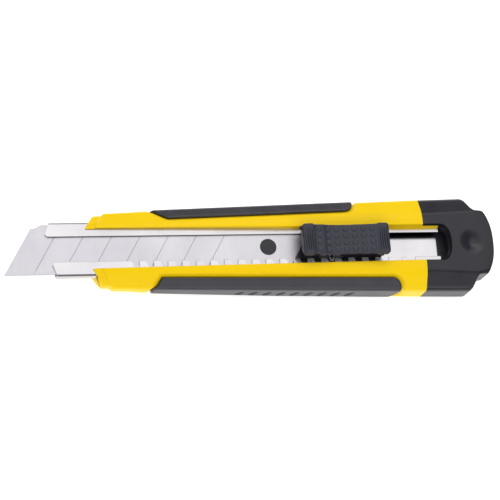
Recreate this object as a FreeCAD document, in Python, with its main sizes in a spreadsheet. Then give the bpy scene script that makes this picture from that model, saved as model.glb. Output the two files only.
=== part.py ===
import FreeCAD, Part
import os
import re
import Sketcher

# Snap-off utility knife, in millimetres.
# +X runs along the knife towards the end cap, so the blade points along -X.
# +Y is the side of the blade's spine, +Z the side of the slider.
# The origin lies on the flat back face, on the centreline.

SIZES = {
    # handle sleeve
    "body_front": -96.5, "body_length": 121.5, "nose_lean": 2.0,
    "nose_half_width": 12.75, "nose_step": 0.85, "nose_step_place": 2.7, "nose_step_ramp": 1.0,
    "nose_corner": 2.9,
    "front_half_width": 13.65, "rear_half_width": 17.15,
    "front_depth": 13.1, "rear_depth": 14.8,
    "back_rise": 2.8, "back_flat_start": -30.0,
    "flank_width": 6.6, "flank_drop": 3.7, "flank_round": 2.4, "back_edge_round": 3.2,
    "slot_upper": 6.3, "slot_lower": 6.9, "wall": 1.9, "core_half_width": 12.6, "core_front": -48.0,
    "floor_under_channel": 1.4,
    # soft grips, let into the sleeve
    "grip_depth": 1.1, "upper_grip_front": -73.0, "upper_grip_rear": 0.4,
    "lower_grip_front": -73.7, "lower_grip_rear": 15.8,
    "grip_edge_front": 10.8, "grip_edge_rear": 12.8, "grip_end_slant": 4.0, "grip_front_round": 2.0,
    "grip_rear_round": 4.0,
    # blade
    "blade_length": 100.0, "blade_width": 18.0, "blade_thickness": 0.5, "blade_tip": -125.0,
    "blade_angle": 60.0, "bevel_width": 1.6, "score_pitch": 10.0, "score_count": 7,
    "score_width": 0.22, "score_depth": 0.12, "spine_notch": 0.8, "edge_flat": 0.04,
    "corner_drop": 1.2, "corner_flat": 0.8, "corner_ramp": 1.9,
    "peg_from_tail": 11.9, "hole_diameter": 6.0, "peg_clearance": 0.1,
    # blade channel, folded from sheet
    "sheet": 0.5, "channel_front": -110.5, "channel_overhang": 6.5,
    "spine_clearance": 0.06, "edge_clearance": 0.16, "blade_clearance": 0.1,
    "bend_radius": 0.65, "lip_width": 5.1, "mouth_slant": 1.8, "mouth_drop": 2.3,
    "mouth_chamfer": 0.9, "channel_clearance": 0.05, "channel_height": 7.3,
    # notches along the lower lip
    "notch_pitch": 5.0, "notch_count": 21, "notch_first": -79.96,
    "notch_floor": 2.0, "notch_mouth": 3.9, "notch_lean": 0.75, "notch_depth": 2.2,
    "tooth_round": 0.9,
    # slider
    "tongue_thickness": 2.45, "tongue_front": -38.0, "tongue_side_gap": 0.3, "slide_gap": 0.05,
    "block_gap": 0.15, "heel_gap": 0.12, "plate_thickness": 1.2, "plate_gap": 0.1, "carrier_rear": 9.0,
    "plate_lower_cover": 0.39, "plate_upper_cover": 1.09, "neck_spring_space": 2.4, "lip_gap": 0.25,
    "spring_window_front": -14.0, "spring_window_rear": -4.6, "spring_window_depth": 1.9,
    "clamp_length": 4.0,
    # lock spring
    "spring_thickness": 0.45, "spring_front": -17.5, "spring_rear": 6.6, "spring_setback": 0.61,
    "tooth_tip": 1.0, "tooth_reach": 1.25, "tooth_base": 2.6, "tooth_steep": 0.6, "clamp_gap": 0.05,
    # thumb button
    "button_front": -20.7, "button_length": 31.6, "button_width": 10.8, "button_offset": 0.3,
    "button_top": 19.0, "button_end": 4.0, "saddle_depth": 1.2, "button_corner": 1.2,
    "button_gap": 0.1, "button_travel": 1.2, "stem_length": 7.0, "stem_width": 3.0,
    "stem_lip_space": 0.4, "stem_clearance": 0.15, "stem_drop": 1.0,
    "dot_diameter": 2.0, "dot_height": 0.35, "dot_pitch_along": 3.2, "dot_pitch_across": 2.5,
    "lug_radius": 0.9, "lug_height": 2.4, "lug_place": 3.9,
    "rib_width": 0.5, "rib_height": 0.45, "rib_pitch": 1.15, "rib_place": 0.95, "rib_end_gap": 0.9,
    "detail_root": 0.5,
    # end cap
    "cap_length": 26.2, "shoulder_place": 16.4, "shoulder_half_width": 17.4, "cap_gap": 0.0,
    "shoulder_draft": 0.2, "shoulder_fall": 1.1, "shoulder_fall_length": 2.2,
    "tongue_half_width": 11.9, "tongue_root": 20.0, "tongue_bulge": 3.0, "tongue_root_flare": 2.2,
    "tongue_root_step": 0.3, "tongue_root_length": 1.6,
    "cap_front_drop": 0.2, "cap_end_drop": 1.0, "cap_end_rise": 1.5,
    "window_length": 9.8, "window_round": 6.0,
    "dimple_place": 17.5, "dimple_diameter": 9.4, "dimple_depth": 1.1,
    "spigot_length": 12.0, "spigot_gap": 0.15, "spigot_wall": 1.6,
    "snap_slot_gap": 0.9, "snap_slot_depth": 8.0, "snap_slot_half_width": 9.3,
    "snap_slot_place": 5.6,
    # far enough to pass any side of the knife
    "reach": 60.0,
}

# Places that several pieces share, each a formula of the sizes above.
SHARED = {
    "body_rear": "body_front + body_length",
    "channel_rear": "body_rear + channel_overhang",
    "lip_underside": "channel_height + sheet + slide_gap + tongue_thickness + blade_thickness"
                     " + blade_clearance",
    "lip_top": "lip_underside + sheet",
    "blade_underside": "channel_height + sheet + slide_gap + tongue_thickness",
    "channel_half_width": "(blade_width + spine_clearance + edge_clearance) / 2 + sheet",
    "blade_offset": "(edge_clearance - spine_clearance) / 2",
    "lip_edge": "channel_half_width - lip_width",
    "plate_underside": "lip_top + plate_gap",
    "plate_top": "plate_underside + plate_thickness",
    "blade_lean": "blade_width / tan(blade_angle)",
    "peg_place": "blade_tip + blade_length + blade_lean / 2 - peg_from_tail",
    "tail_place": "blade_tip + blade_length + blade_lean / 2",
    "core_top": "channel_height - floor_under_channel",
    "channel_bed": "channel_height - channel_clearance",
    "channel_roof": "lip_top + channel_clearance",
    "channel_side": "channel_half_width + channel_clearance",
    "spring_place": "lip_edge - spring_setback",
    "spring_outside": "spring_place + spring_thickness",
    "neck_lower_edge": "spring_place - neck_spring_space",
    "plate_lower_edge": "lip_edge + plate_lower_cover",
    "plate_upper_edge": "lip_edge + plate_upper_cover",
    "stem_place": "lip_edge - stem_lip_space - stem_width / 2",
    "lock_notch": "notch_first + 14 * notch_pitch",
}

document = FreeCAD.newDocument("utility_knife")
sizes = document.addObject("Spreadsheet::Sheet", "Sizes")


def formula(text):
    """Write the sheet's name before every size that a formula uses."""
    def cell(word):
        name = word.group()
        return "Sizes." + name if name in SIZES or name in SHARED else name
    return re.sub(r"[a-z_]+", cell, str(text))


def number(text):
    return float(sizes.evalExpression(formula(text)))


def fill_sheet():
    row = 0
    for name, size in SIZES.items():
        row += 1
        sizes.set(f"A{row}", name)
        sizes.set(f"B{row}", str(size))
        sizes.setAlias(f"B{row}", name)
    for name, text in SHARED.items():
        row += 1
        sizes.set(f"A{row}", name)
        sizes.set(f"B{row}", "=" + re.sub(r"tan\(blade_angle\)", "tan(blade_angle * 1deg)", text))
        sizes.setAlias(f"B{row}", name)
    document.recompute()


# ---- helpers for PartDesign bodies -------------------------------------------------

def new_body(name):
    body = document.addObject("PartDesign::Body", name)
    body.Label = name
    return body


def new_sketch(body, role, name, offset="0"):
    """A sketch on one of the body's own origin planes, moved along the plane's normal."""
    plane = next(item for item in body.Origin.OriginFeatures if item.Role == role)
    sketch = body.newObject("Sketcher::SketchObject", name)
    sketch.AttachmentSupport = [(plane, "")]
    sketch.MapMode = "FlatFace"
    sketch.setExpression("AttachmentOffset.Base.z", formula(offset))
    return sketch


def outline(sketch, corners):
    """A closed outline of straight lines, with each corner a pair of formulas."""
    first = sketch.GeometryCount
    count = len(corners)
    places = [FreeCAD.Vector(number(across), number(up), 0) for across, up in corners]
    for index in range(count):
        line = Part.LineSegment(places[index], places[(index + 1) % count])
        sketch.addGeometry(line, False)
    for index in range(count):
        following = first + (index + 1) % count
        sketch.addConstraint(Sketcher.Constraint("Coincident", first + index, 2, following, 1))
    for index, (across, up) in enumerate(corners):
        for kind, text in (("DistanceX", across), ("DistanceY", up)):
            rule = Sketcher.Constraint(kind, -1, 1, first + index, 1, number(text))
            place = sketch.addConstraint(rule)
            sketch.setExpression(f"Constraints[{place}]", formula(text))


def circle(sketch, across, up, radius):
    index = sketch.GeometryCount
    centre = FreeCAD.Vector(number(across), number(up), 0)
    sketch.addGeometry(Part.Circle(centre, FreeCAD.Vector(0, 0, 1), number(radius)), False)
    rules = [("DistanceX", -1, 1, index, 3, across), ("DistanceY", -1, 1, index, 3, up)]
    for kind, origin, start, target, end, text in rules:
        place = sketch.addConstraint(
            Sketcher.Constraint(kind, origin, start, target, end, number(text)))
        sketch.setExpression(f"Constraints[{place}]", formula(text))
    place = sketch.addConstraint(Sketcher.Constraint("Radius", index, number(radius)))
    sketch.setExpression(f"Constraints[{place}]", formula(radius))


def pad(body, sketch, name, length):
    feature = body.newObject("PartDesign::Pad", name)
    feature.Profile = sketch
    feature.setExpression("Length", formula(length))
    return feature


def pocket(body, sketch, name, length):
    """Cut against the sketch plane's normal, and make sure that something was cut."""
    document.recompute()
    before = body.Shape.Volume
    feature = body.newObject("PartDesign::Pocket", name)
    feature.Profile = sketch
    feature.setExpression("Length", formula(length))
    document.recompute()
    if body.Shape.Volume > before - 1e-4:
        raise RuntimeError(f"{body.Label}: {name} cuts nothing")
    return feature


def repeat(body, feature, name, step, count):
    """Repeat a feature along X."""
    axis = next(item for item in body.Origin.OriginFeatures if item.Role == "X_Axis")
    pattern = body.newObject("PartDesign::LinearPattern", name)
    pattern.Originals = [feature]
    pattern.Direction = (axis, [""])
    pattern.setExpression("Length", formula(f"({step}) * (({count}) - 1)"))
    pattern.setExpression("Occurrences", formula(count))
    body.Tip = pattern
    return pattern


def edges_where(shape, wanted):
    return [f"Edge{index + 1}" for index, edge in enumerate(shape.Edges) if wanted(edge)]


def fillet(body, name, radius, wanted):
    """Round the edges of the body so far that the test picks."""
    document.recompute()
    base = body.Tip
    feature = body.newObject("PartDesign::Fillet", name)
    feature.Base = (base, edges_where(base.Shape, wanted))
    feature.setExpression("Radius", formula(radius))
    document.recompute()
    return feature


def bevel(body, name, side, width, drop):
    """Slope the front edge on one side (+1 or -1), so wide in Y and so deep in Z."""
    document.recompute()
    base = body.Tip
    top = base.Shape.BoundBox.ZMax / 2

    def wanted(edge):
        centre = edge.CenterOfMass
        return centre.z > top and centre.y * side > 9 and lies_along_x(edge)

    feature = body.newObject("PartDesign::Chamfer", name)
    feature.Base = (base, edges_where(base.Shape, wanted))
    feature.ChamferType = "Two distances"
    feature.setExpression("Size", formula(width))
    feature.setExpression("Size2", formula(drop))
    wide, deep = number(width), number(drop)
    expected = FreeCAD.Vector(0, side * deep, wide).normalize()
    for flip in (False, True):
        feature.FlipDirection = flip
        document.recompute()
        slopes = [face.normalAt(0, 0) for face in feature.Shape.Faces]
        if any((slope - expected).Length < 0.05 for slope in slopes):
            return feature
    raise RuntimeError(f"{body.Label}: {name} has no slope")


def flanks(body, name, inset):
    """The sloping flanks along both front edges, a little rounded, and the rounded back edges.

    A form that is set in only bounds the grips from inside, so its back edges stay sharp."""
    for side, word in ((1, "upper"), (-1, "lower")):
        bevel(body, f"{name}_{word}_flank", side, f"flank_width - {inset} / 2",
              f"flank_drop - {inset} / 2")
    document.recompute()
    top = body.Shape.BoundBox.ZMax

    def flank_edge(edge):
        return edge.CenterOfMass.z > top * 0.3 and abs(edge.CenterOfMass.y) > 7 and lies_along_x(edge)

    def back_edge(edge):
        return edge.CenterOfMass.z < top * 0.3 and abs(edge.CenterOfMass.y) > 9 and lies_along_x(edge)

    fillet(body, name + "_flank_round", "flank_round", flank_edge)
    if inset == "0":
        fillet(body, name + "_back_round", "back_edge_round", back_edge)


def keep_inside(body, name, corners):
    """Cut away all that lies outside an outline in plan."""
    sketch = new_sketch(body, "XY_Plane", name + "_sketch", "reach")
    far = [("-4 * reach", "-reach"), ("4 * reach", "-reach"),
           ("4 * reach", "reach"), ("-4 * reach", "reach")]
    outline(sketch, far)
    outline(sketch, corners)
    return pocket(body, sketch, name, "2 * reach")


# ---- helpers for plain solids ------------------------------------------------------

def block(name, low, high):
    """A box between two corners, each of three formulas."""
    box = document.addObject("Part::Box", name)
    for side, axis, start, end in zip(("Length", "Width", "Height"), "xyz", low, high):
        box.setExpression(side, formula(f"({end}) - ({start})"))
        box.setExpression(f"Placement.Base.{axis}", formula(start))
    return box


def rod(name, centre, radius, height):
    """An upright cylinder standing on a point."""
    cylinder = document.addObject("Part::Cylinder", name)
    cylinder.setExpression("Radius", formula(radius))
    cylinder.setExpression("Height", formula(height))
    for axis, text in zip("xyz", centre):
        cylinder.setExpression(f"Placement.Base.{axis}", formula(text))
    return cylinder


def join(name, pieces):
    fused = document.addObject("Part::MultiFuse", name)
    fused.Shapes = pieces
    fused.Refine = True
    return fused


def cut(name, base, tool):
    result = document.addObject("Part::Cut", name)
    result.Base = base
    result.Tool = tool
    return result


def common(name, first, second):
    result = document.addObject("Part::MultiCommon", name)
    result.Shapes = [first, second]
    return result


def lies_along_x(edge):
    start, end = edge.Vertexes[0].Point, edge.Vertexes[-1].Point
    return abs(end.x - start.x) > 4 * (abs(end.y - start.y) + abs(end.z - start.z))


# ---- the handle's outer form, which the sleeve and the grips share -------------------

def sleeve_form(name, inset):
    """The sleeve's solid outside, or the same surface set in by a depth all round."""
    body = new_body(name)
    side = new_sketch(body, "XZ_Plane", name + "_side", "-reach")
    outline(side, [
        ("body_front - reach", f"back_rise * (back_flat_start - body_front + reach)"
                               f" / (back_flat_start - body_front) + {inset}"),
        ("back_flat_start", inset),
        ("body_rear + reach", inset),
        ("body_rear + reach", f"rear_depth + (rear_depth - front_depth) * reach / body_length - {inset}"),
        ("body_front - reach", f"front_depth - (rear_depth - front_depth) * reach / body_length - {inset}"),
    ])
    pad(body, side, name + "_slab", "2 * reach")
    document.recompute()
    front_half = f"(front_half_width - {inset})"
    keep_inside(body, name + "_plan", [
        ("body_rear", f"-rear_half_width + {inset}"), ("body_rear", f"rear_half_width - {inset}"),
        ("body_front", front_half), ("body_front", f"-{front_half}"),
    ])
    flanks(body, name, inset)
    return body


def cut_nose(body):
    """The sleeve's front end, seen from the front: a slanted face, cut corners and a small step."""
    taper = "(rear_half_width - front_half_width) / body_length"
    step = "(body_front + nose_step_place)"
    half = f"front_half_width + {taper} * nose_step_place"
    keep_inside(body, "nose", [
        ("body_rear + 1", "-rear_half_width - 1"), ("body_rear + 1", "rear_half_width + 1"),
        (f"{step} + nose_step_ramp", f"{half} + 1"), (f"{step} + nose_step_ramp", half),
        (step, f"{half} - nose_step"), ("body_front + nose_corner", "nose_half_width"),
        ("body_front", "nose_half_width - nose_corner * 2"),
        ("body_front + nose_lean", "-nose_half_width + nose_corner * 2"),
        ("body_front + nose_lean + nose_corner", "-nose_half_width"),
        (f"{step} + nose_lean / 2", f"-({half} - nose_step)"),
        (f"{step} + nose_lean / 2 + nose_step_ramp", f"-({half})"),
        (f"{step} + nose_lean / 2 + nose_step_ramp", f"-({half}) - 1"),
    ])
    return body


def grip_region(name, side, front, rear):
    """The part of the handle's side that a soft grip covers, seen from the front."""
    body = new_body(name)
    plan = new_sketch(body, "XY_Plane", name + "_plan", "-1")
    outline(plan, [
        (front, f"{side} * reach / 2"),
        (front, f"{side} * (grip_edge_front + grip_end_slant)"),
        (f"{front} + grip_end_slant", f"{side} * grip_edge_front"),
        (rear, f"{side} * grip_edge_rear"),
        (rear, f"{side} * reach / 2"),
    ])
    pad(body, plan, name + "_prism", "reach")
    middle = number(f"({front} + {rear}) / 2")
    far = number("reach / 2") - 1

    def upright(edge):
        level = abs(edge.Vertexes[0].Y - edge.Vertexes[-1].Y) < 1e-6
        return level and edge.Length > number("reach") - 1 and abs(edge.CenterOfMass.y) < far

    fillet(body, name + "_front_round", "grip_front_round",
           lambda edge: upright(edge) and edge.CenterOfMass.x < middle)
    fillet(body, name + "_rear_round", "grip_rear_round",
           lambda edge: upright(edge) and edge.CenterOfMass.x > middle)
    return body


def make_grips(outside, inside):
    """Two soft grips that wrap the sleeve's sides, as deep as the recesses that hold them."""
    skin = cut("grip_skin", outside, inside)
    upper = common("upper_grip", skin, grip_region("upper_region", "1", "upper_grip_front",
                                                   "upper_grip_rear"))
    lower = common("lower_grip", skin, grip_region("lower_region", "-1", "lower_grip_front",
                                                   "lower_grip_rear"))
    return upper, lower


def make_handle(outside, grips):
    """The sleeve: slot, bed for the channel, and a hollow core that the cap plugs."""
    slot = block("slider_slot", ("body_front - reach", "-slot_lower", "channel_bed + sheet"),
                 ("body_rear + 1", "slot_upper", "rear_depth + reach"))
    bed = block("channel_bed_space", ("body_front - reach", "-channel_side", "channel_bed"),
                ("body_rear + 1", "channel_side", "channel_roof"))
    core = block("core_space", ("core_front", "-core_half_width", "wall"),
                 ("body_rear + 1", "core_half_width", "core_top"))
    hollow = join("handle_hollows", [slot, bed, core])
    carved = cut("handle_carved", outside, hollow)
    return cut("handle_body", carved, join("grip_pair", list(grips)))


# ---- the blade channel ---------------------------------------------------------------

def make_channel():
    body = new_body("blade_channel")
    section = new_sketch(body, "YZ_Plane", "channel_section", "channel_front")
    half, top, low = "channel_half_width", "lip_top", "channel_height"
    outline(section, [
        (f"-{half}", low), (half, low), (half, top), ("lip_edge", top),
        ("lip_edge", "lip_underside"), (f"{half} - sheet", "lip_underside"),
        (f"{half} - sheet", f"{low} + sheet"), (f"sheet - {half}", f"{low} + sheet"),
        (f"sheet - {half}", "lip_underside"), ("-lip_edge", "lip_underside"),
        ("-lip_edge", top), (f"-{half}", top),
    ])
    pad(body, section, "channel_fold", "channel_rear - channel_front")
    outer = number(half)

    def outer_bend(edge):
        return lies_along_x(edge) and abs(abs(edge.CenterOfMass.y) - outer) < 1e-6

    def inner_bend(edge):
        inside = abs(abs(edge.CenterOfMass.y) - outer + number("sheet")) < 1e-6
        return lies_along_x(edge) and inside

    fillet(body, "outer_bends", "bend_radius", outer_bend)
    fillet(body, "inner_bends", "bend_radius - sheet", inner_bend)
    keep_inside(body, "channel_mouth", [
        ("channel_front + mouth_slant", "channel_half_width + 1"),
        ("channel_front", "lip_edge + mouth_chamfer"),
        ("channel_front + mouth_chamfer", "lip_edge"),
        ("channel_front + mouth_drop + mouth_chamfer", "-lip_edge"),
        ("channel_front + mouth_drop", "-lip_edge - mouth_chamfer"),
        ("channel_front + mouth_drop + mouth_slant", "-channel_half_width - 1"),
        ("channel_rear + 1", "-channel_half_width - 1"),
        ("channel_rear + 1", "channel_half_width + 1"),
    ])
    notch = new_sketch(body, "XY_Plane", "notch_sketch", "lip_top + 1")
    outline(notch, [
        ("notch_first", "-lip_edge - notch_depth"),
        ("notch_first + notch_floor", "-lip_edge - notch_depth"),
        ("notch_first + notch_floor", "-lip_edge + 1"),
        ("notch_first + notch_floor - notch_mouth", "-lip_edge + 1"),
        ("notch_first + notch_floor - notch_mouth", "-lip_edge"),
        ("notch_first - notch_lean - tooth_round / 3", "-lip_edge - tooth_round / 6"),
        ("notch_first - notch_lean + tooth_round / 5", "-lip_edge - tooth_round * 2 / 3"),
    ])
    first = pocket(body, notch, "first_notch", "1 + sheet + blade_clearance / 2")
    repeat(body, first, "notches", "notch_pitch", "notch_count")
    return body


# ---- the snap-off blade --------------------------------------------------------------

def make_blade():
    body = new_body("blade")
    section = new_sketch(body, "YZ_Plane", "blade_section", "blade_tip - 1")
    spine, edge = "blade_offset + blade_width / 2", "blade_offset - blade_width / 2"
    low, high = "blade_underside", "blade_underside + blade_thickness"
    outline(section, [
        (edge, "blade_underside + blade_thickness / 2 - edge_flat / 2"),
        (f"{edge} + bevel_width", low), (spine, low), (spine, high),
        (f"{edge} + bevel_width", high), (edge, "blade_underside + blade_thickness / 2 + edge_flat / 2"),
    ])
    pad(body, section, "blade_strip", "blade_length + blade_lean + 2")
    corner, low_spine = "blade_tip + blade_lean", f"{spine} - corner_drop"
    keep_inside(body, "blade_ends", [
        ("blade_tip", edge), ("blade_tip + blade_length", edge),
        ("blade_tip + blade_length + blade_lean", spine),
        (f"{corner} + corner_flat + corner_ramp", spine), (f"{corner} + corner_flat", low_spine),
        (f"{corner} - corner_drop / tan(blade_angle * 1deg)", low_spine),
    ])
    hole = new_sketch(body, "XY_Plane", "peg_hole_sketch", "lip_top")
    circle(hole, "peg_place", "0", "hole_diameter / 2")
    pocket(body, hole, "peg_hole", "2 * sheet + 2 * blade_thickness")
    score = new_sketch(body, "XY_Plane", "score_sketch", f"{high}")
    slant = "(blade_width - bevel_width) / tan(blade_angle * 1deg)"
    start = "blade_tip + score_pitch + bevel_width / tan(blade_angle * 1deg)"
    outline(score, [
        (start, f"{edge} + bevel_width"), (f"{start} + score_width", f"{edge} + bevel_width"),
        (f"{start} + {slant} + score_width", spine), (f"{start} + {slant}", spine),
    ])
    first = pocket(body, score, "first_score", "score_depth")
    repeat(body, first, "scores", "score_pitch", "score_count")
    nick = new_sketch(body, "XY_Plane", "nick_sketch", "lip_top")
    corner = "blade_tip + blade_lean + score_pitch"
    outline(nick, [
        (f"{corner} - spine_notch", f"{spine} + 1"), (f"{corner} - spine_notch", spine),
        (f"{corner} + score_width / 2", f"{spine} - spine_notch"),
        (f"{corner} + spine_notch", spine), (f"{corner} + spine_notch", f"{spine} + 1"),
    ])
    first = pocket(body, nick, "first_nick", "2 * sheet + 2 * blade_thickness")
    repeat(body, first, "nicks", "score_pitch", "score_count")
    return body


# ---- the slider ----------------------------------------------------------------------

def make_carrier():
    """Tongue under the blade, peg, block behind the blade's tail, and a plate over the lips."""
    side = "channel_half_width - sheet - tongue_side_gap"
    floor = "channel_height + sheet + slide_gap"
    tongue = block("tongue", ("tongue_front", f"-({side})", floor),
                   ("carrier_rear", side, "blade_underside"))
    peg = rod("peg", ("peg_place", "0", floor), "hole_diameter / 2 - peg_clearance",
              "tongue_thickness + blade_thickness - slide_gap")
    heel = new_body("heel")
    plan = new_sketch(heel, "XY_Plane", "heel_plan", "blade_underside")
    tail = "tail_place + block_gap"
    tangent = "tan(blade_angle * 1deg)"
    outline(plan, [
        (f"{tail} - ({side}) / {tangent}", f"-({side})"), ("carrier_rear", f"-({side})"),
        ("carrier_rear", side), (f"{tail} + ({side}) / {tangent}", side),
    ])
    pad(heel, plan, "heel_pad", "lip_underside - blade_underside - heel_gap")
    neck = new_body("neck")
    plan = new_sketch(neck, "XY_Plane", "neck_plan", "blade_underside")
    outline(plan, [
        (f"{tail} - neck_lower_edge / {tangent}", "-neck_lower_edge"),
        ("carrier_rear", "-neck_lower_edge"), ("carrier_rear", "lip_edge - lip_gap"),
        (f"{tail} + (lip_edge - lip_gap) / {tangent}", "lip_edge - lip_gap"),
    ])
    pad(neck, plan, "neck_pad", "plate_underside - blade_underside")
    plate = new_body("plate")
    plan = new_sketch(plate, "XY_Plane", "plate_plan", "plate_underside")
    inside = "spring_place - spring_thickness - spring_window_depth"
    outline(plan, [
        (f"{tail} - plate_lower_edge / {tangent}", "-plate_lower_edge"),
        ("spring_window_front", "-plate_lower_edge"), ("spring_window_front", f"-({inside})"),
        ("spring_window_rear", f"-({inside})"), ("spring_window_rear", "-plate_lower_edge"),
        ("carrier_rear", "-plate_lower_edge"), ("carrier_rear", "plate_upper_edge"),
        (f"{tail} + plate_upper_edge / {tangent}", "plate_upper_edge"),
    ])
    pad(plate, plan, "plate_pad", "plate_thickness")
    clamp = block("spring_clamp",
                  ("spring_rear - clamp_length", "-(spring_outside + 2 * clamp_gap)", "blade_underside"),
                  ("carrier_rear", "-neck_lower_edge", "plate_underside"))
    solid = join("carrier_solid", [tongue, peg, heel, neck, plate, clamp])
    slit = block("spring_slit",
                 ("spring_front - 1", "-(spring_outside + clamp_gap)", "lip_underside - heel_gap"),
                 ("spring_rear + clamp_gap", "-(spring_place - clamp_gap)",
                  "plate_top - plate_thickness / 2"))
    half_stem = "(stem_length / 2 + button_travel + stem_clearance)"
    middle = "(button_front + button_length / 2)"
    stem_hole = block("stem_hole",
                      (f"{middle} - {half_stem}", "stem_place - stem_width / 2 - stem_clearance",
                       "plate_underside - stem_drop - stem_clearance"),
                      (f"{middle} + {half_stem}", "stem_place + stem_width / 2 + stem_clearance",
                       "plate_top + 1"))
    return cut("slider_carrier", solid, join("carrier_hollows", [slit, stem_hole]))


def make_spring():
    """Leaf spring on edge beside the neck, with the tooth that drops into a notch."""
    body = new_body("lock_spring")
    plan = new_sketch(body, "XY_Plane", "spring_plan", "lip_underside - blade_clearance / 2")
    middle = "(lock_notch + notch_floor / 2)"
    outer, inner = "-spring_outside", "-spring_place"
    tip = "-(lip_edge + tooth_reach)"
    outline(plan, [
        ("spring_front", inner), ("spring_front", outer),
        (f"{middle} - tooth_base / 2", outer), (f"{middle} - tooth_tip / 2", tip),
        (f"{middle} + tooth_tip / 2", tip), (f"{middle} + tooth_base / 2 - tooth_steep", outer),
        ("spring_rear", outer), ("spring_rear", inner),
        (f"{middle} + tooth_base / 2 - tooth_steep - spring_thickness", inner),
        (f"{middle} + tooth_tip / 2 - spring_thickness * 0.7", f"{tip} + spring_thickness"),
        (f"{middle} - tooth_tip / 2 + spring_thickness * 0.7", f"{tip} + spring_thickness"),
        (f"{middle} - tooth_base / 2 + spring_thickness", inner),
    ])
    pad(body, plan, "spring_leaf", "plate_top - plate_thickness / 2 - lip_underside - 2 * clamp_gap")
    return body


def make_button():
    """Thumb button with a hollowed top, raised ends with ribs, and rows of round dots."""
    body = new_body("button_block")
    low, high = "button_offset - button_width / 2", "button_offset + button_width / 2"
    rear = "button_front + button_length"
    plan = new_sketch(body, "XY_Plane", "button_plan", "plate_top + button_gap")
    outline(plan, [("button_front", low), (rear, low), (rear, high), ("button_front", high)])
    pad(body, plan, "button_pad", "button_top - plate_top - button_gap")

    def upright(edge):
        start, end = edge.Vertexes[0].Point, edge.Vertexes[-1].Point
        return abs(start.x - end.x) < 1e-6 and abs(start.y - end.y) < 1e-6

    fillet(body, "button_corners", "button_corner", upright)
    span = "(button_length / 2 - button_end)"
    radius = f"(({span} * {span} + saddle_depth * saddle_depth) / (2 * saddle_depth))"
    saddle = new_sketch(body, "XZ_Plane", "saddle_sketch", "reach")
    circle(saddle, "button_front + button_length / 2", f"button_top - saddle_depth + {radius}", radius)
    pocket(body, saddle, "saddle", "2 * reach")
    middle = "(button_front + button_length / 2)"
    stem = block("stem", (f"{middle} - stem_length / 2", "stem_place - stem_width / 2",
                          "plate_underside - stem_drop"),
                 (f"{middle} + stem_length / 2", "stem_place + stem_width / 2",
                  "plate_top + button_gap + detail_root"))
    lug = rod("lug", ("button_front - lug_radius / 3", "button_offset + lug_place",
                      "plate_top + button_gap"), "lug_radius", "lug_height")
    details = [body, stem, lug]
    for along in range(-3, 4):
        sag = f"({radius} - sqrt({radius} * {radius} - ({along} * dot_pitch_along)^2))"
        height = f"button_top - saddle_depth + {sag}"
        for across in (-1.5, -0.5, 0.5, 1.5):
            centre = (f"{middle} + {along} * dot_pitch_along",
                      f"button_offset + {across} * dot_pitch_across", f"{height} - detail_root")
            details.append(rod("dot", centre, "dot_diameter / 2", "detail_root + dot_height"))
    for end, direction in (("button_front", 1), (rear, -1)):
        for index in range(3):
            place = f"{end} + {direction} * (rib_place + {index} * rib_pitch)"
            details.append(block("rib", (f"{place} - rib_width / 2", f"{low} + rib_end_gap",
                                         "button_top - detail_root"),
                                 (f"{place} + rib_width / 2", f"{high} - rib_end_gap",
                                  "button_top + rib_height")))
    return join("thumb_button", details)


# ---- the end cap ---------------------------------------------------------------------

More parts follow.
